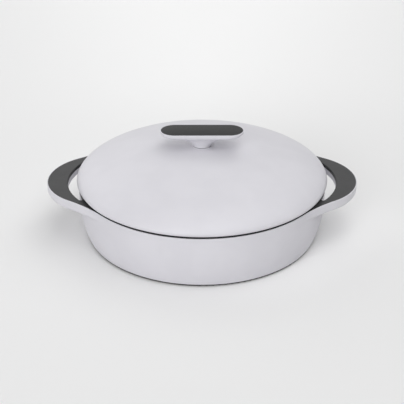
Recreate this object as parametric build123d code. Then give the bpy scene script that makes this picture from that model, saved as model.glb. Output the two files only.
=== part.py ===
# Low round braiser in enamelled cast iron, with a domed lid and a bar knob.
# Millimetres, +Z up. The origin is the middle of the base, on the stove top.
# The two loop handles lie along X and the front of the pot faces -Y.
from build123d import *
import os
from math import asin, atan2, cos, degrees, hypot, pi, sin, sqrt

# Pot: a round casting with an upright upper wall that curves in to the foot
rim_radius = 150.8
pot_height = 67.0
upright_wall = 22.0
side_curve = 110.0
wall = 4.5
floor_thickness = 5.0
floor_corner = 14.0
foot_corner = 3.0
foot_ring = 16.0
foot_recess = 0.8
foot_bevel = 2.0
rim_edge = 0.4
rim_inner_edge = 0.9

# Loop handles: flat-topped ears level with the rim, cast in one with the pot.
# Spans are those of the arcs where they meet the rim, before their ends are rounded.
gap_width = 14.0
loop_width = 25.5
handle_span = 139.5
handle_blend = 203.0
handle_tuck = 0.15
handle_depth = 13.5
handle_edge = 5.0
handle_root = 4.0
gap_end_inset = 1.35
gap_skin = 0.25
gap_corner = 2.5
gap_edge = 4.5

# Black enamel: lines pot and lid, and covers the rim and the tops of the handles
enamel = 0.5
rim_border = 0.9
gap_lip = 4.0

# Lid: a domed casting that sits on the rim, with a rib inside the pot to centre it
lid_overhang = 2.2
lid_edge_height = 6.0
lid_edge_round = 3.5
lid_rise = 44.7
dome_spread_share = 1.935
dome_fullness_share = 1.71
lid_wall = 4.3
seat_width = 3.5
seat_round = 0.8
seat_root = 1.0
rib_clearance = 0.8
rib_width = 3.2
rib_depth = 4.0
rib_round = 1.2
rib_fillet = 3.0

# Middle of the lid: a low boss under the knob, and a thicker pad inside for the screw
boss_radius = 11.8
boss_rise = 0.4
boss_fillet = 0.3
boss_round = 0.15
pad_radius = 13.0
pad_depth = 2.2
pad_round = 0.8
pad_fillet = 1.0
screw_clearance = 0.3

# Knob: a flat-topped bar on a round neck that flares out under it, nearly to its sides and ends
knob_length = 100.8
knob_width = 34.6
knob_rise = 20.0
knob_thickness = 7.2
knob_belly = 560.0
knob_lower_edge = 4.0
knob_upper_edge = 0.5
knob_border = 0.9
neck_radius = 11.4
neck_land = 0.7
flare_depth = 3.0
flare_end_inset = 3.5
flare_side_inset = 0.2
flare_fullness_share = 1.45

# Fasteners of the knob
gasket_thickness = 0.8
gasket_inset = 0.5
screw_diameter = 6.0
screw_grip = 10.5
screw_head_diameter = 12.0
screw_head_height = 3.4
screw_head_round = 1.4
screw_tip = 0.6
slot_width = 1.6
slot_depth = 1.6
washer_diameter = 16.0
washer_thickness = 1.2
thread_clearance = 0.05
bore_spare = 1.0

# How far every cut runs on past the piece that it cuts
overrun = 10.0

# Steps along the curves of the dome and the flare, and where and how closely an edge is looked at
dome_steps = 12
flare_steps = 6
look_shares = (0, 0.25, 0.5, 0.75, 1)
touch = 0.01

# Heights and radii that follow from the sizes above
inner_radius = rim_radius - wall
wall_foot = pot_height - upright_wall
side_centre = rim_radius - side_curve
foot_radius = side_centre + sqrt(side_curve**2 - wall_foot**2)
handle_under = pot_height - handle_depth
gap_reach = rim_radius + gap_width
handle_reach = gap_reach + loop_width
lid_radius = rim_radius + lid_overhang
crown = pot_height + lid_rise
lid_edge = pot_height + lid_edge_height
lip_height = lid_edge - lid_edge_round
lip_radius = lid_radius - lid_edge_round
rib_outer = inner_radius - rib_clearance
rib_inner = rib_outer - rib_width
rib_end = pot_height - rib_depth
seat_outer = rib_outer + seat_width
boss_top = crown + boss_rise
knob_foot = boss_top + gasket_thickness
knob_top = crown + knob_rise
knob_under = knob_top - knob_thickness
pad_under = crown - lid_wall - pad_depth
screw_radius = screw_diameter / 2
hole_radius = screw_radius + screw_clearance
flare_foot = knob_foot + neck_land
flare_top = knob_under + flare_depth
flare_long = knob_length / 2 - flare_end_inset
flare_short = knob_width / 2 - flare_side_inset
head_top = pad_under - washer_thickness
head_end = head_top - screw_head_height
screw_end = knob_foot + screw_grip


def slab(inner, outer, bottom, top):
    """A rectangular profile between two radii and two heights."""
    corners = [(inner, bottom), (outer, bottom), (outer, top), (inner, top)]
    return make_face(Polyline(*corners, close=True))


def corner(profile, radius, height):
    """The corner of a profile that lies nearest to a radius and a height."""
    return min(profile.vertices(), key=lambda v: hypot(v.X - radius, v.Y - height))


def turned(profile):
    """A profile drawn as radius and height, turned round the vertical axis."""
    return revolve(Plane.XZ * profile, Axis.Z)


def upright(plan, bottom, top):
    """A plan drawn from above, raised between two heights."""
    return extrude(Pos(0, 0, bottom) * plan, top - bottom)


# Pot


def pot_outside():
    """The pot's outside as a solid of revolution, with a recess inside its foot ring."""
    recess_edge = foot_radius - foot_ring
    sweep = -degrees(asin(wall_foot / side_curve))
    side = CenterArc((side_centre, wall_foot), side_curve, 0, sweep)
    rest = Polyline(
        (foot_radius, 0),
        (recess_edge, 0),
        (recess_edge - foot_bevel, foot_recess),
        (0, foot_recess),
        (0, pot_height),
        (rim_radius, pot_height),
        (rim_radius, wall_foot),
    )
    profile = make_face([side, rest])
    return turned(fillet(corner(profile, foot_radius, 0), foot_corner))


def pot_room(grow):
    """The room inside the pot, grown into the metal by grow."""
    curve = side_curve - wall + grow
    base = floor_thickness - grow
    reach = side_centre + sqrt(curve**2 - (wall_foot - base) ** 2)
    sweep = -degrees(asin((wall_foot - base) / curve))
    side = CenterArc((side_centre, wall_foot), curve, 0, sweep)
    rest = Polyline(
        (reach, base),
        (0, base),
        (0, pot_height + overrun),
        (inner_radius + grow, pot_height + overrun),
        (inner_radius + grow, wall_foot),
    )
    profile = make_face([side, rest])
    return turned(fillet(corner(profile, reach, base), floor_corner + grow))


def arc_radius(span, reach):
    """The radius of an arc that meets the rim at both ends of a span and reaches out."""
    half = span / 2
    rise = reach - sqrt(rim_radius**2 - half**2)
    return (half**2 + rise**2) / (2 * rise)


def rim_plan(rim_inset, handle_inset):
    """The pot and both handles from above, drawn in from the edge of the casting."""
    curve = arc_radius(handle_span, handle_reach)
    plan = Circle(rim_radius - rim_inset)
    for side in (1, -1):
        plan += Pos(side * (handle_reach - curve), 0) * Circle(curve - handle_inset)
    joins = plan.vertices().filter_by(lambda v: abs(v.Y) > handle_span / 4)
    return fillet(joins, handle_blend + handle_inset)


def gap_plan(side, grow):
    """A finger gap from above, between the pot's wall and the inside of a loop."""
    curve = arc_radius(handle_span - 2 * gap_end_inset, gap_reach)
    plan = Pos(side * (gap_reach - curve), 0) * Circle(curve + grow)
    plan -= Circle(rim_radius + gap_skin - grow)
    return fillet(plan.vertices(), gap_corner + grow)


def spots(edge):
    """Points along an edge, by which it is recognised."""
    return [edge.position_at(share) for share in look_shares]


def on_round(edge, radius):
    """Whether an edge keeps to one radius from the middle of the pot."""
    return all(abs(hypot(p.X, p.Y) - radius) < touch for p in spots(edge))


def root_edges(pot):
    """Where the handles leave the wall, below the rim."""
    found = pot.edges().filter_by(lambda e: on_round(e, rim_radius))
    found = found.filter_by(lambda e: e.center().Z > handle_under - touch)
    return found.filter_by(lambda e: min(p.Z for p in spots(e)) < pot_height - touch)


def gap_under_edges(pot):
    """The lower edges of both finger gaps, without those along the pot's wall."""
    found = pot.edges().filter_by(lambda e: e.center().Z < handle_under + touch)
    for_gap = []
    for side in (1, -1):
        outline = gap_plan(side, 0).wires()[0]
        for edge in found:
            flat = [Vertex(p.X, p.Y, 0) for p in spots(edge)]
            on_outline = all(outline.distance_to(v) < touch for v in flat)
            if on_outline and not on_round(edge, rim_radius + gap_skin):
                for_gap.append(edge)
    return for_gap


def whole_pot():
    """The pot with its handles and its black enamel, still as one solid."""
    ears = upright(rim_plan(handle_tuck, 0), handle_under, pot_height)
    lower_edges = ears.faces().sort_by(Axis.Z)[0].edges()
    pot = pot_outside() + fillet(lower_edges, handle_edge)
    pot = fillet(root_edges(pot), handle_root)
    for side in (1, -1):
        pot -= upright(gap_plan(side, 0), handle_under - overrun, pot_height + overrun)
    pot = fillet(gap_under_edges(pot), gap_edge)
    pot -= pot_room(0)
    rim = pot.faces().sort_by(Axis.Z)[-1]
    inner_edges = [edge for wire in rim.inner_wires() for edge in wire.edges()]
    pot = fillet(inner_edges, rim_inner_edge)
    rim = pot.faces().sort_by(Axis.Z)[-1]
    return fillet(rim.outer_wire().edges(), rim_edge)


def pot_enamel_zone():
    """The space of the black enamel: lining, rim, handle tops and lips of the gaps."""
    top = pot_height + overrun
    zone = upright(rim_plan(rim_border, rim_border), pot_height - enamel, top)
    zone += pot_room(enamel)
    for side in (1, -1):
        zone += upright(gap_plan(side, enamel), pot_height - gap_lip, top)
    return zone


# Lid


def dome_curve(inset):
    """The dome from crown to edge as a curve, moved into the metal by inset."""
    height = lid_rise - lid_edge_height
    line = []
    for step in range(dome_steps + 1):
        angle = pi / 2 * step / dome_steps
        out = lid_radius * sin(angle) ** (2 / dome_spread_share)
        up = height * cos(angle) ** (2 / dome_fullness_share)
        fall = dome_spread_share * height * sin(angle) ** (2 - 2 / dome_spread_share)
        run = dome_fullness_share * lid_radius * cos(angle) ** (2 - 2 / dome_fullness_share)
        tilt = atan2(fall, run)
        line.append((out - inset * sin(tilt), lid_edge + up - inset * cos(tilt)))
    return Spline(*line, tangents=[(1, 0), (0, -1)])


def lid_outside():
    """The profile of the lid without its hollow: dome, rounded edge and boss."""
    edge = CenterArc((lip_radius, lid_edge), lid_edge_round, 0, -90)
    rest = Polyline((lip_radius, lip_height), (lip_radius, rib_end), (0, rib_end), (0, crown))
    profile = make_face([dome_curve(0), edge, rest]) + slab(0, boss_radius, rib_end, boss_top)
    profile = fillet(corner(profile, boss_radius, crown), boss_fillet)
    return fillet(corner(profile, boss_radius, boss_top), boss_round)


def lid_hollow(grow):
    """The room in the lid and round its rib and seat, grown into the metal by grow.

    The metal under the enamel keeps its corners sharp, and the enamel rounds them.
    """
    below = rib_end - overrun
    inside = rib_inner + grow
    outside = rib_outer - grow
    seat_side = seat_outer - grow
    pad_side = pad_radius - grow
    dome = dome_curve(lid_wall - grow)
    rest = Polyline(dome @ 1, ((dome @ 1).X, below), (0, below), dome @ 0)
    room = make_face([dome, rest]) & slab(0, inside, below, crown)
    room -= slab(0, pad_side, pad_under + grow, crown)
    room += slab(0, lip_radius, below, rib_end + grow)
    room += slab(outside, lip_radius, below, pot_height + grow)
    room += slab(seat_side, lip_radius, below, lip_height + grow)
    return room


def lid_face():
    """The lid's hollow with its corners rounded, as the black enamel leaves it."""
    room = lid_hollow(0)
    corners = [
        (rib_inner, crown, rib_fillet),
        (rib_inner, rib_end, rib_round),
        (rib_outer, rib_end, rib_round),
        (rib_outer, pot_height, seat_root),
        (seat_outer, pot_height, seat_round),
        (pad_radius, pad_under, pad_round),
        (pad_radius, crown, pad_fillet),
    ]
    for radius, height, size in corners:
        room = fillet(corner(room, radius, height), size)
    return room


def lid_pieces():
    """The lid's casting and the black enamel inside it."""
    bore = slab(0, hole_radius, rib_end, boss_top + overrun)
    lid = lid_outside() - lid_face() - bore
    lining = lid_hollow(enamel)
    return turned(lid - lining), turned(lid & lining)


# Knob


def bar(inset, bottom, top):
    """The bar of the knob between two heights, drawn in by inset."""
    plan = SlotOverall(knob_length - 2 * inset, knob_width - 2 * inset)
    return upright(plan, bottom, top)


def knob_neck():
    """The neck: a short round foot, then ovals that widen until they are lost in the bar."""
    ovals = []
    for step in range(flare_steps + 1):
        angle = pi / 2 * step / flare_steps
        out = 1 - cos(angle) ** (2 / flare_fullness_share)
        up = sin(angle) ** (2 / flare_fullness_share)
        long_radius = neck_radius + (flare_long - neck_radius) * out
        short_radius = neck_radius + (flare_short - neck_radius) * out
        height = flare_foot + (flare_top - flare_foot) * up
        ovals.append(Pos(0, 0, height) * Ellipse(long_radius, short_radius))
    return loft(ovals) + upright(Circle(neck_radius), knob_foot, flare_foot)


def whole_knob():
    """The knob with its black face, still as one solid."""
    belly = Rot(90, 0, 0) * Cylinder(knob_belly, knob_width)
    knob = bar(0, knob_under, knob_top) & Pos(0, 0, knob_under + knob_belly) * belly
    knob = fillet(knob.faces().sort_by(Axis.Z)[0].edges(), knob_lower_edge)
    knob = fillet(knob.faces().sort_by(Axis.Z)[-1].edges(), knob_upper_edge)
    knob += knob_neck()
    bore_radius = screw_radius + thread_clearance
    return knob - upright(Circle(bore_radius), knob_foot, screw_end + bore_spare)


# Fasteners


def ring(outer, bottom, top):
    """A flat ring with the screw's clearance hole."""
    return turned(slab(hole_radius, outer, bottom, top))


def screw():
    """A pan-head screw with one slot, which comes up through the lid into the knob."""
    head_radius = screw_head_diameter / 2
    profile = slab(0, screw_radius, head_top, screw_end)
    profile += slab(0, head_radius, head_end, head_top)
    profile = fillet(corner(profile, head_radius, head_end), screw_head_round)
    profile = chamfer(corner(profile, screw_radius, screw_end), screw_tip)
    slot = Pos(0, 0, head_end) * Box(screw_head_diameter, slot_width, 2 * slot_depth)
    return turned(profile) - slot


pot = whole_pot()
pot_zone = pot_enamel_zone()
lid, lid_coat = lid_pieces()
knob = whole_knob()
knob_zone = bar(knob_border, knob_top - enamel, knob_top + overrun)

nodes = {
    "pot": pot - pot_zone,
    "pot_black_enamel": pot & pot_zone,
    "lid": lid,
    "lid_black_enamel": lid_coat,
    "knob": knob - knob_zone,
    "knob_black_face": knob & knob_zone,
    "knob_gasket": ring(neck_radius - gasket_inset, boss_top, knob_foot),
    "knob_washer": ring(washer_diameter / 2, head_top, pad_under),
    "knob_screw": screw(),
}

os.makedirs("parts", exist_ok=True)
for name, solid in nodes.items():
    export_step(solid, f"parts/{name}.step")
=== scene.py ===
"""A low round cooking pot of enamelled cast iron, with two loop handles and a domed lid."""
import math

import bmesh
import bpy
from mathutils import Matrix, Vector


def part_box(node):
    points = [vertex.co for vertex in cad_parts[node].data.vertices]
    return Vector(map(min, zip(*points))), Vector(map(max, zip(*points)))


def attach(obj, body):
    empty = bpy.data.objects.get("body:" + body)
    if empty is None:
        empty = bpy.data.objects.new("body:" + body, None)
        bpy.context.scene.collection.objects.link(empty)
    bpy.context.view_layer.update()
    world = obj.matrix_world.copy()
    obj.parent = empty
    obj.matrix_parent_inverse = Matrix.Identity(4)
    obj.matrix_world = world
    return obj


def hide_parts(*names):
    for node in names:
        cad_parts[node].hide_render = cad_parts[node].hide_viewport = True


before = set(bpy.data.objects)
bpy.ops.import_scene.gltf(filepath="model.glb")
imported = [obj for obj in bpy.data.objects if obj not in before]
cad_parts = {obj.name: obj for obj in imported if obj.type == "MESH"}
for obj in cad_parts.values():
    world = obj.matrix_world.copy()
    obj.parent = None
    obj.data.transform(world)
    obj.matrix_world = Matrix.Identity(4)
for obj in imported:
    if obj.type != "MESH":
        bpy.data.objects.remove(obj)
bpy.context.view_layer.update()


# The pot's casting. It is poured in iron in one piece with its two loop handles, and sprayed
# outside with a pale lavender-grey enamel that is fired to a satin face. Its colour turns near
# black below a wavering line just above the table, the underside included.
class Term:
    """An output of a shader node, which can stand in a sum or a product like a number."""

    def __init__(self, tree, socket=None):
        self.tree = tree
        self.socket = socket

    def node(self, kind, settings=None, inputs=None, output=0):
        """A node of that kind, as the Term of one of its outputs."""
        made = self.tree.nodes.new("ShaderNode" + kind)
        for name, value in (settings or {}).items():
            setattr(made, name, value)
        for name, value in (inputs or {}).items():
            if isinstance(value, Term):
                self.tree.links.new(value.socket, made.inputs[name])
            else:
                made.inputs[name].default_value = value
        return Term(self.tree, made.outputs[output] if made.outputs else None)

    def math(self, operation, *values):
        """What a Math node makes of its values."""
        return self.node("Math", {"operation": operation}, dict(enumerate(values)))

    def __add__(self, other):
        return self.math("ADD", self, other)

    def __sub__(self, other):
        return self.math("SUBTRACT", self, other)

    def __rsub__(self, other):
        return self.math("SUBTRACT", other, self)

    def __mul__(self, other):
        return self.math("MULTIPLY", self, other)

    __radd__ = __add__
    __rmul__ = __mul__


def new_finish(name):
    """An empty material, with the Term that its nodes are made from."""
    material = bpy.data.materials.new(name)
    material.use_nodes = True
    material.node_tree.nodes.clear()
    return material, Term(material.node_tree)


def surface(finish, inputs):
    """Ends a finish with its shader."""
    shader = finish.node("BsdfPrincipled", {}, inputs)
    finish.node("OutputMaterial", {}, {"Surface": shader})


def place(finish, axis):
    """How far the surface lies along an axis of the pot, in metres."""
    spot = finish.node("TexCoord", output="Object")
    return finish.node("SeparateXYZ", {}, {"Vector": spot}, output=axis)


def cloud(finish, grain, detail=2.0):
    """Smooth random values round 0.5, in lumps about grain metres across."""
    spot = finish.node("TexCoord", output="Object")
    return finish.node("TexNoise", {}, {"Vector": spot, "Scale": 1 / grain, "Detail": detail})


def ramp(finish, value, start, end, low=0.0, high=1.0):
    """Runs smoothly from low to high while value runs from start to end."""
    inputs = {"Value": value, "From Min": start, "From Max": end, "To Min": low, "To Max": high}
    return finish.node("MapRange", {"interpolation_type": "SMOOTHSTEP"}, inputs)


def mix(finish, share, first, second):
    """A colour that turns from the first to the second as share runs from 0 to 1."""
    inputs = {"Factor": share, 6: first, 7: second}
    return finish.node("Mix", {"data_type": "RGBA"}, inputs, output=2)


def bump(finish, height, depth):
    """The surface normal where height raises the surface, by depth metres for a height of 1."""
    return finish.node("Bump", {}, {"Height": height, "Strength": 1.0, "Distance": depth})


enamel_ior = 1.5
pale_thick = (0.65, 0.642, 0.682, 1)
pale_thin = (0.632, 0.624, 0.664, 1)
pale_roughness = 0.45
pale_dulling = 0.06
thin_place = 0.035
dull_place = 0.014
peel_grain = 0.0022
peel_swell = 0.03
peel_depth = 0.00001
base_band_deep = (0.018, 0.018, 0.02, 1)
base_band_light = (0.036, 0.035, 0.036, 1)
base_band_dulling = 0.3
base_band_mottle = 0.006
base_band_top = 0.0028
base_band_waver = 0.0004
base_band_wave = 0.004
base_band_blur = 0.0001


def pale_enamel(name, darkened_base=False):
    """Pale satin enamel, thinner here and there, with the orange peel of a sprayed coat."""
    material, finish = new_finish(name)
    thinned = ramp(finish, cloud(finish, thin_place), 0.35, 0.65)
    colour = mix(finish, thinned, pale_thick, pale_thin)
    roughness = pale_roughness + pale_dulling * (cloud(finish, dull_place) - 0.5)
    # Below a wavering line just above the table the colour is made near black, duller and
    # mottled.
    if darkened_base:
        edge = base_band_top + base_band_waver * (cloud(finish, base_band_wave) - 0.5)
        above = ramp(finish, place(finish, "Z") - edge, -base_band_blur, base_band_blur)
        base_mottle = ramp(finish, cloud(finish, base_band_mottle, 4.0), 0.35, 0.7)
        base_band = mix(finish, base_mottle, base_band_deep, base_band_light)
        colour = mix(finish, above, base_band, colour)
        roughness = roughness + base_band_dulling * (1 - above) * (1 - 0.4 * base_mottle)
    peel = cloud(finish, peel_grain) + 2 * cloud(finish, peel_swell, 1.0)
    inputs = {
        "Base Color": colour,
        "Roughness": roughness,
        "IOR": enamel_ior,
        "Normal": bump(finish, peel, peel_depth),
    }
    surface(finish, inputs)
    return material


def dress(node, material):
    """Gives a solid of the CAD model that finish."""
    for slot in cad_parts[node].material_slots:
        slot.material = material


dress("pot", pale_enamel("pot_pale_enamel", darkened_base=True))


# The black matt enamel that lines the pot and covers its rim and the flat tops of both handles.
# It is sprayed first and fired, and rim and handle tops are then wiped clean of the pale coat.
lining_deep = (0.018, 0.018, 0.019, 1)
lining_worn = (0.03, 0.03, 0.031, 1)
lining_shine = 0.24
matt_roughness = 0.5
matt_dulling = 0.1
matt_grain = 0.0011
worn_patch = 0.02
relief_grain = 0.0007
relief_swell = 0.005
relief_depth = 0.00002


def black_enamel(name, deep, worn, shine):
    """Black enamel with the fine dry grain of a matt glaze."""
    material, finish = new_finish(name)
    grain = ramp(finish, cloud(finish, matt_grain, 3.0), 0.35, 0.65)
    patches = ramp(finish, cloud(finish, worn_patch), 0.3, 0.7)
    relief = cloud(finish, relief_grain, 3.0) + 2 * cloud(finish, relief_swell)
    inputs = {
        "Base Color": mix(finish, 0.6 * grain + 0.4 * patches, deep, worn),
        "Roughness": matt_roughness + matt_dulling * (grain - 0.5),
        "IOR": enamel_ior,
        "Specular IOR Level": shine,
        "Normal": bump(finish, relief, relief_depth),
    }
    surface(finish, inputs)
    return material


pot_black = black_enamel("pot_black_enamel_coat", lining_deep, lining_worn, lining_shine)
dress("pot_black_enamel", pot_black)


# The black enamel inside the lid: over the pad for the screw, under the dome, round the rib that
# keeps the lid on the pot, and over the seat that rests on the rim. It is sprayed on the bare
# casting and fired before the pale coat.
lid_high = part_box("lid")[1]
lining_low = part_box("lid_black_enamel")[0]
lid_radius = lid_high.x
lid_edge = 0.073
lid_edge_round = 0.0035
lid_wall = 0.0043
crown = 0.1117
dome_spread_share = 1.935
dome_fullness_share = 1.71
dome_steps = 40
least_angle = 0.01
coat = 0.0005
rim_height = 0.067
bore_radius = 0.0033
pad_under = 0.1052
pad_radius = 0.013
pad_round = 0.0008
pad_fillet = 0.001
pad_to_dome = 0.003
dome_to_rib = 0.006
rib_inner = 0.1423
rib_outer = 0.1455
rib_end = lining_low.z
rib_fillet = 0.003
rib_round = 0.0012
seat_outer = 0.149
seat_root = 0.001
seat_round = 0.0008
lip_radius = lid_radius - lid_edge_round
lip_height = lid_edge - lid_edge_round
around_lid = 192
hard_edge = math.radians(40)


def dome_point(angle, inset):
    """A point of the dome, from the crown at 0 to the edge at pi / 2, inset into the metal."""
    rise = crown - lid_edge
    out = lid_radius * math.sin(angle) ** (2 / dome_spread_share)
    up = rise * math.cos(angle) ** (2 / dome_fullness_share)
    fall = dome_spread_share * rise * math.sin(angle) ** (2 - 2 / dome_spread_share)
    run = dome_fullness_share * lid_radius * math.cos(angle) ** (2 - 2 / dome_fullness_share)
    tilt = math.atan2(fall, run)
    return out - inset * math.sin(tilt), lid_edge + up - inset * math.cos(tilt)


def narrowed(low, high, short_of, halvings):
    """The number between low and high up to which short_of holds."""
    for _ in range(halvings):
        middle = (low + high) / 2
        if short_of(middle):
            low = middle
        else:
            high = middle
    return low


def dome_angle(radius, inset):
    """Where on the dome that radius is reached."""

    def too_near(angle):
        return dome_point(angle, inset)[0] < radius

    return narrowed(least_angle, math.pi / 2, too_near, halvings=40)


def dome_height(radius, inset):
    """How high the dome is at that radius."""
    return dome_point(dome_angle(radius, inset), inset)[1]


def dome_line(inner, outer, inset):
    """Points of the dome between two radii."""
    start, end = dome_angle(inner, inset), dome_angle(outer, inset)
    shares = [step / dome_steps for step in range(dome_steps + 1)]
    return [dome_point(start + (end - start) * share, inset) for share in shares]


def rounded(corners, parts=5):
    """An outline of (radius, height), where a third number rounds a corner to that radius."""
    line = []
    for here, corner in enumerate(corners):
        spot = Vector(corner[:2])
        if len(corner) == 2:
            line.append(spot)
            continue
        back = (Vector(corners[here - 1][:2]) - spot).normalized()
        on = (Vector(corners[(here + 1) % len(corners)][:2]) - spot).normalized()
        half = back.angle(on) / 2
        centre = spot + (back + on).normalized() * corner[2] / math.sin(half)
        first = spot + back * corner[2] / math.tan(half) - centre
        last = spot + on * corner[2] / math.tan(half) - centre
        sweep = first.angle_signed(last)
        for part in range(parts + 1):
            turn = -sweep * part / parts
            cos, sin = math.cos(turn), math.sin(turn)
            arm = Vector((cos * first.x - sin * first.y, sin * first.x + cos * first.y))
            line.append(centre + arm)
    return line


def turned(outline, steps):
    """A closed outline of (radius, height), turned round the middle of the pot."""
    mesh = bmesh.new()
    rings = []
    for step in range(steps):
        angle = 2 * math.pi * step / steps
        cos, sin = math.cos(angle), math.sin(angle)
        rings.append([mesh.verts.new((r * cos, r * sin, z)) for r, z in outline])
    for ring, after in zip(rings, rings[1:] + rings[:1]):
        for spot in range(len(outline)):
            mesh.faces.new((ring[spot - 1], ring[spot], after[spot], after[spot - 1]))
    return mesh


def fit_piece(name, mesh, material, body, node):
    """Makes a mesh, smooth but for its hard edges, stand for a solid of the CAD model."""
    bmesh.ops.recalc_face_normals(mesh, faces=mesh.faces)
    data = bpy.data.meshes.new(name)
    mesh.to_mesh(data)
    mesh.free()
    data.shade_smooth()
    data.set_sharp_from_angle(angle=hard_edge)
    data.materials.append(material)
    piece = bpy.data.objects.new(name, data)
    bpy.context.scene.collection.objects.link(piece)
    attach(piece, body)
    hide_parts(node)


def lid_room(grow):
    """The inside of the lid from its bore to its lip, moved into the metal by grow."""
    inset = lid_wall - grow
    inner, outer = pad_radius - grow, rib_inner + grow
    return [
        (bore_radius, pad_under + grow),
        (inner, pad_under + grow, pad_round),
        (inner, dome_height(inner, inset), pad_fillet),
        *dome_line(inner + pad_to_dome, outer - dome_to_rib, inset),
        (outer, dome_height(outer, inset), rib_fillet),
        (outer, rib_end + grow, rib_round),
        (rib_outer - grow, rib_end + grow, rib_round),
        (rib_outer - grow, rim_height + grow, seat_root),
        (seat_outer - grow, rim_height + grow, seat_round),
        (seat_outer - grow, lip_height + grow),
        (lip_radius, lip_height + grow),
    ]


lining_face = rounded(lid_room(0))
lining_back = rounded(lid_room(coat))
lining = turned(lining_face + lining_back[::-1], around_lid)
lid_black = black_enamel("lid_black_enamel_coat", lining_deep, lining_worn, lining_shine)
fit_piece("lid_lining", lining, lid_black, "lid", "lid_black_enamel")


# The lid's casting: one domed piece of iron with a low boss in the middle for the knob, and a
# rolled outer edge that stands off the rim. It has the same pale enamel outside as the pot, which
# meets the black in a clean line under the edge.
boss_radius = 0.0118
boss_top = lid_high.z
boss_foot = dome_height(boss_radius, 0)
boss_round = 0.00015
boss_fillet = 0.0003
boss_to_dome = 0.0025
rolled_parts = 8

rolled_edge = []
for part in range(1, rolled_parts + 1):
    turn = -math.pi / 2 * part / rolled_parts
    out, up = lid_edge_round * math.cos(turn), lid_edge_round * math.sin(turn)
    rolled_edge.append((lip_radius + out, lid_edge + up))
lid_outside = [
    (bore_radius, boss_top),
    (boss_radius, boss_top, boss_round),
    (boss_radius, boss_foot, boss_fillet),
    *dome_line(boss_radius + boss_to_dome, lid_radius, 0),
    *rolled_edge,
]
lid_casting = turned(rounded(lid_outside) + lining_back[::-1], around_lid)
fit_piece("lid_dome", lid_casting, pale_enamel("lid_pale_enamel"), "lid", "lid")


# The knob: an iron bar with round ends, cast in one with its neck and enamelled like the lid. The
# neck starts as a short round foot and flares out under the bar, nearly to its sides and ends, so
# that fingers hook under it from either end.
knob_low, knob_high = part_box("knob")
knob_end = knob_high.y
knob_straight = knob_high.x - knob_end
knob_top = knob_high.z
knob_foot = knob_low.z
knob_under = 0.1245
knob_belly = 0.56
knob_lower_edge = 0.004
knob_upper_edge = 0.0005
knob_border = 0.0009
black_face_depth = 0.0005
neck_radius = 0.0114
neck_land = 0.0007
flare_depth = 0.003
flare_end_inset = 0.0035
flare_side_inset = 0.0002
flare_foot = knob_foot + neck_land
flare_top = knob_under + flare_depth
flare_long = knob_high.x - flare_end_inset
flare_short = knob_end - flare_side_inset
flare_fullness_share = 1.45
flare_blend = 0.0008
flare_full = flare_top - 1e-6
knob_bore = 0.00305
knob_bore_depth = 0.0115
cap_parts = 40
side_parts = 24
under_parts = 32
upper_edge_parts = 4


def bar_outline(inset):
    """The bar from above, drawn in by inset, from the middle of its right end."""
    radius = knob_end - inset
    line = []
    for side in (1, -1):
        for part in range(cap_parts):
            angle = math.pi * (part / cap_parts - 0.5)
            along, over = knob_straight + radius * math.cos(angle), radius * math.sin(angle)
            line.append((side * along, side * over))
        for part in range(side_parts):
            along = knob_straight * (1 - 2 * part / side_parts)
            line.append((side * along, side * radius))
    return line[cap_parts // 2:] + line[:cap_parts // 2]


def circle(radius, count=2 * (cap_parts + side_parts)):
    """Points on a circle, if not told otherwise as many as the bar's outline has."""
    angles = [2 * math.pi * part / count for part in range(count)]
    return [(radius * math.cos(angle), radius * math.sin(angle)) for angle in angles]


def at_height(line, height):
    """A flat line lifted to that height."""
    return [(x, y, height) for x, y in line]


def quarter(parts):
    """Cosine and sine from 0 to 90 degrees, in that many steps."""
    turns = [math.pi / 2 * part / parts for part in range(parts + 1)]
    return [(math.cos(turn), math.sin(turn)) for turn in turns]


def lofted(loops):
    """A closed skin through loops of the same number of points, with both ends filled."""
    mesh = bmesh.new()
    rows = [[mesh.verts.new(spot) for spot in loop] for loop in loops]
    for row, after in zip(rows, rows[1:]):
        for spot in range(len(row)):
            mesh.faces.new((row[spot - 1], row[spot], after[spot], after[spot - 1]))
    mesh.faces.new(rows[0])
    mesh.faces.new(rows[-1])
    return mesh


def neck_height(x, y):
    """How high the neck has risen where its oval has grown out to a point."""

    def too_small(grown):
        long = neck_radius + (flare_long - neck_radius) * grown
        short = neck_radius + (flare_short - neck_radius) * grown
        return math.hypot(x / long, y / short) > 1

    grown = narrowed(0.0, 1.0, too_small, halvings=30)
    rise = (1 - (1 - grown) ** flare_fullness_share) ** (1 / flare_fullness_share)
    return flare_foot + (flare_top - flare_foot) * rise


def bar_height(x, y):
    """The underside of the bar over a point, with its belly and its rounded lower edge."""
    belly = knob_belly - math.sqrt(knob_belly**2 - x**2)
    inset = knob_end - math.hypot(max(abs(x) - knob_straight, 0), y)
    short = knob_lower_edge - min(max(inset, 0), knob_lower_edge)
    return knob_under + belly + knob_lower_edge - math.sqrt(knob_lower_edge**2 - short**2)


def under_knob(x, y):
    """The lower of neck and bar over a point, with a soft hollow where they meet."""
    neck, bar = neck_height(x, y), bar_height(x, y)
    if neck > flare_full:
        return bar
    near = max(0, 1 - abs(neck - bar) / flare_blend)
    return min(neck, bar) - flare_blend * near**2 / 4


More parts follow.
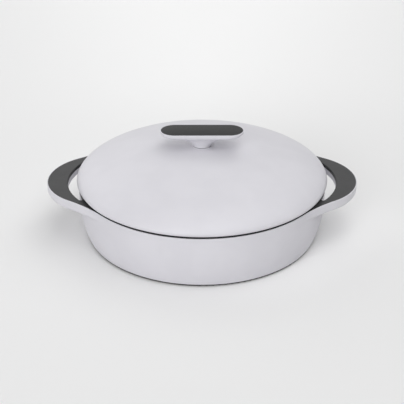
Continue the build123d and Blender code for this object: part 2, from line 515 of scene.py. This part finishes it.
knob_loops = [
    at_height(circle(knob_bore), knob_foot + knob_bore_depth),
    at_height(circle(knob_bore), knob_foot),
    at_height(circle(neck_radius), knob_foot),
]
root, side = circle(neck_radius), bar_outline(0)
for part in range(under_parts + 1):
    share = (1 - math.cos(math.pi * part / under_parts)) / 2
    line = [(a + share * (c - a), b + share * (d - b)) for (a, b), (c, d) in zip(root, side)]
    knob_loops.append([(x, y, under_knob(x, y)) for x, y in line])
for cos, sin in quarter(upper_edge_parts):
    edge = bar_outline(knob_upper_edge * (1 - cos))
    knob_loops.append(at_height(edge, knob_top - knob_upper_edge * (1 - sin)))
for height in (knob_top, knob_top - black_face_depth):
    knob_loops.append(at_height(bar_outline(knob_border), height))
knob_pale = pale_enamel("knob_pale_enamel")
fit_piece("knob_bar", lofted(knob_loops), knob_pale, "lid", "knob")


# The knob's flat black top, a face of matt black enamel. It is fired on in a shallow bed in the
# bar, flush with the narrow pale border that is left round it.
face_deep = (0.009, 0.009, 0.0095, 1)
face_worn = (0.014, 0.014, 0.0145, 1)
face_shine = 0.16
face_edge = 0.0001
face_edge_parts = 3

face_loops = [at_height(bar_outline(knob_border), knob_top - black_face_depth)]
for cos, sin in quarter(face_edge_parts):
    edge = bar_outline(knob_border + face_edge * (1 - cos))
    face_loops.append(at_height(edge, knob_top - face_edge * (1 - sin)))
knob_black = black_enamel("knob_black_enamel_face", face_deep, face_worn, face_shine)
fit_piece("knob_black_top", lofted(face_loops), knob_black, "lid", "knob_black_face")


# The seal under the knob's foot, a thin punched ring of dark silicone rubber. The screw's pull
# presses it on the boss, where it keeps steam out of the bore and iron off the lid's enamel.
rubber_clean = (0.022, 0.022, 0.024, 1)
rubber_dusty = (0.04, 0.04, 0.042, 1)
rubber_roughness = 0.6
dust_dulling = 0.15
dust_patch = 0.003
rubber_grain = 0.0005
rubber_depth = 0.00001
ring_edge = 0.00025
ring_edge_parts = 3
around_ring = 96


def flat_ring(low, high):
    """A flat ring round the screw that fills a box, with soft outer edges."""
    outline = [
        (bore_radius, low.z),
        (high.x, low.z, ring_edge),
        (high.x, high.z, ring_edge),
        (bore_radius, high.z),
    ]
    return turned(rounded(outline, ring_edge_parts), around_ring)


silicone, finish = new_finish("dark_silicone")
dust = ramp(finish, cloud(finish, dust_patch), 0.4, 0.7)
inputs = {
    "Base Color": mix(finish, dust, rubber_clean, rubber_dusty),
    "Roughness": rubber_roughness + dust_dulling * dust,
    "Normal": bump(finish, cloud(finish, rubber_grain), rubber_depth),
}
surface(finish, inputs)
seal = flat_ring(*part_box("knob_gasket"))
fit_piece("seal_ring", seal, silicone, "lid", "knob_gasket")


# The washer under the screw's head, a flat ring of stainless steel. Like the screw's head it is
# turned on a lathe, and it spreads the pull of the screw over the enamel inside the lid.
steel_dark = (0.52, 0.51, 0.5, 1)
steel_light = (0.66, 0.65, 0.64, 1)
steel_roughness = 0.24
smear_patch = 0.002
marks_per_metre = 9000.0
mark_dulling = 0.2
mark_depth = 0.00001


def from_axis(finish):
    """How far the surface lies from the pot's axis, in metres."""
    out_x, out_y = place(finish, "X"), place(finish, "Y")
    return finish.math("SQRT", out_x * out_x + out_y * out_y)


steel, finish = new_finish("turned_steel")
mark_inputs = {"W": from_axis(finish), "Scale": marks_per_metre}
tool_marks = finish.node("TexNoise", {"noise_dimensions": "1D"}, mark_inputs)
inputs = {
    "Base Color": mix(finish, cloud(finish, smear_patch), steel_dark, steel_light),
    "Metallic": 1.0,
    "Roughness": steel_roughness + mark_dulling * tool_marks,
    "Normal": bump(finish, tool_marks, mark_depth),
}
surface(finish, inputs)
washer = flat_ring(*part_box("knob_washer"))
fit_piece("flat_washer", washer, steel, "lid", "knob_washer")


# The stainless screw that holds the knob from inside the lid. It has a slotted pan head, and its
# rolled 6 mm thread runs up through the lid into the knob.
screw_low, screw_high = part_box("knob_screw")
head_radius = screw_high.x
head_height = 0.0034
head_round = 0.0014
head_round_parts = 8
head_top = screw_low.z + head_height
thread_radius = 0.003
thread_pitch = 0.001
thread_depth = 0.0006
plain_shank = 0.001
thread_start = head_top + plain_shank
tip_bevel = 0.0006
crest_share = 1 / 8
root_share = 1 / 4
around_screw = 48
rows_per_pitch = 8
slot_width = 0.0016
slot_depth = 0.0016
slot_reach = 2 * head_radius
square = [(-1, -1), (1, -1), (1, 1), (-1, 1)]


def thread_row(height):
    """The outline of the screw at a height: a round that a rolled thread has bitten into."""
    row = []
    worn = min(1, max(0, (height - thread_start) / thread_pitch))
    bevel = max(0, tip_bevel - (screw_high.z - height))
    for part in range(around_screw):
        from_crest = abs((height / thread_pitch - part / around_screw) % 1 - 0.5)
        bite = (from_crest - crest_share / 2) / (0.5 - crest_share / 2 - root_share / 2)
        radius = thread_radius - thread_depth * worn * min(1, max(0, bite))
        radius = min(radius, thread_radius - bevel)
        angle = 2 * math.pi * part / around_screw
        row.append((radius * math.cos(angle), radius * math.sin(angle), height))
    return row


def cut_out(mesh, cutter):
    """What is left of a mesh when another one is cut out of it."""
    pair = []
    for part in (mesh, cutter):
        bmesh.ops.recalc_face_normals(part, faces=part.faces)
        data = bpy.data.meshes.new("cut")
        part.to_mesh(data)
        part.free()
        pair.append(bpy.data.objects.new("cut", data))
        bpy.context.scene.collection.objects.link(pair[-1])
    pair[0].modifiers.new("cut", "BOOLEAN").object = pair[1]
    left = bmesh.new()
    left.from_object(pair[0], bpy.context.evaluated_depsgraph_get())
    for piece in pair:
        bpy.data.objects.remove(piece)
    return left


screw_loops = []
for cos, sin in quarter(head_round_parts):
    edge = circle(head_radius - head_round * (1 - sin), around_screw)
    screw_loops.append(at_height(edge, screw_low.z + head_round * (1 - cos)))
screw_loops.append(at_height(circle(head_radius, around_screw), head_top))
screw_rows = round((screw_high.z - head_top) / thread_pitch * rows_per_pitch)
for row in range(screw_rows + 1):
    screw_loops.append(thread_row(head_top + (screw_high.z - head_top) * row / screw_rows))
slot_plan = [(x * slot_reach, y * slot_width / 2) for x, y in square]
slot_room = lofted([at_height(slot_plan, screw_low.z + end * slot_depth) for end in (-1, 1)])
screw = cut_out(lofted(screw_loops), slot_room)
fit_piece("knob_fixing_screw", screw, steel, "lid", "knob_screw")


# The floor that the pot stands on, which isn't part of it: a wide sheet of matt pale paper.
# Behind the pot a pool of painted light makes it paler in a patch that widens towards the back,
# as in the photograph, and far out it takes the tone of the wall.
floor_half = 8.0
floor_near = (0.86, 0.86, 0.86, 1)
floor_painted_glow = (0.985, 0.985, 0.985, 1)
floor_far = (0.95, 0.95, 0.95, 1)
glow_start, glow_end = 0.0, 0.57
glow_middle, glow_side = -0.2, 0.35
glow_widening = 0.25
glow_side_share = 0.15
far_start, far_end = 1.3, 4.0

floor_mesh = bpy.data.meshes.new("floor")
floor_corners = [(x * floor_half, y * floor_half, 0) for x, y in square]
floor_mesh.from_pydata(floor_corners, [], [range(len(floor_corners))])
floor = bpy.data.objects.new("floor", floor_mesh)
bpy.context.scene.collection.objects.link(floor)
paper, finish = new_finish("floor_paper")
# The paler patch behind the pot is painted light: a brighter paper colour where a pool of light
# falls.
beside = finish.math("ABSOLUTE", place(finish, "X"))
behind = place(finish, "Y")
aside = beside - glow_widening * behind
across_glow = ramp(finish, aside, glow_middle, glow_side, 1.0, glow_side_share)
painted_glow = ramp(finish, behind, glow_start, glow_end) * across_glow
far_out = ramp(finish, from_axis(finish), far_start, far_end)
inputs = {
    "Base Color": mix(finish, far_out, mix(finish, painted_glow, floor_near, floor_painted_glow), floor_far),
    "Roughness": 0.9,
    "Specular IOR Level": 0.1,
}
surface(finish, inputs)
floor_mesh.materials.append(paper)


# The pale studio wall far behind, seen where the floor ends. The camera and whatever mirrors it
# see it at the floor's own tone, but it sheds no light.
wall_tone = (0.9, 0.9, 0.9, 1)

studio = bpy.data.worlds.new("studio")
studio.use_nodes = True
studio.node_tree.nodes.clear()
finish = Term(studio.node_tree)
camera_ray, mirrored, through = (
    finish.node("LightPath", output=f"Is {kind} Ray")
    for kind in ("Camera", "Glossy", "Transmission")
)
seen = finish.math("MAXIMUM", camera_ray, finish.math("MAXIMUM", mirrored, through))
wall = finish.node("Background", {}, {"Color": wall_tone, "Strength": seen})
finish.node("OutputWorld", {}, {"Surface": wall})
bpy.context.scene.world = studio


# The studio's lamps, broad soft ones that stand all round and so far off that the floor is lit
# evenly. The low one in front, a little to the left, is the strongest. Those behind and above put
# the knob's shadow on the lid in front of it.
def soft_lamp(name, azimuth, height, share, width=50):
    """A soft lamp at an azimuth, 0 in front and 90 on the right, with its share of the light."""
    data = bpy.data.lights.new(name, "SUN")
    data.angle = math.radians(width)
    data.energy = math.pi * share
    lamp = bpy.data.objects.new(name, data)
    bpy.context.scene.collection.objects.link(lamp)
    turn, rise = math.radians(azimuth), math.radians(height)
    out, up = math.cos(rise), math.sin(rise)
    towards = Vector((math.sin(turn) * out, -math.cos(turn) * out, up))
    lamp.rotation_mode = "QUATERNION"
    lamp.rotation_quaternion = towards.to_track_quat("Z", "Y")


soft_lamp("front_left_low", 330, 10, 0.54)
soft_lamp("front_high", 0, 48, 0.338)
soft_lamp("back_right_high", 150, 48, 0.205)
soft_lamp("right_high", 60, 68, 0.165)
soft_lamp("back_left", 210, 28, 0.136)
soft_lamp("right", 90, 48, 0.111)
soft_lamp("far_left", 240, 28, 0.086)
soft_lamp("overhead", 0, 88, 0.076, width=35)


# The camera, where the photograph's stood: straight in front, a little over a metre off, looking
# down by a little under 28 degrees through a long lens.
camera = bpy.data.objects.new("camera", bpy.data.cameras.new("camera"))
bpy.context.scene.collection.objects.link(camera)
camera.data.lens = 85
camera.data.sensor_width = 36
camera.location = (0, -1.0559, 0.5873)
aim = Vector((0, 0, 0.0342))
camera.rotation_mode = "QUATERNION"
camera.rotation_quaternion = (aim - camera.location).to_track_quat("-Z", "Y")
bpy.context.scene.camera = camera
bpy.context.scene.view_settings.view_transform = "Standard"
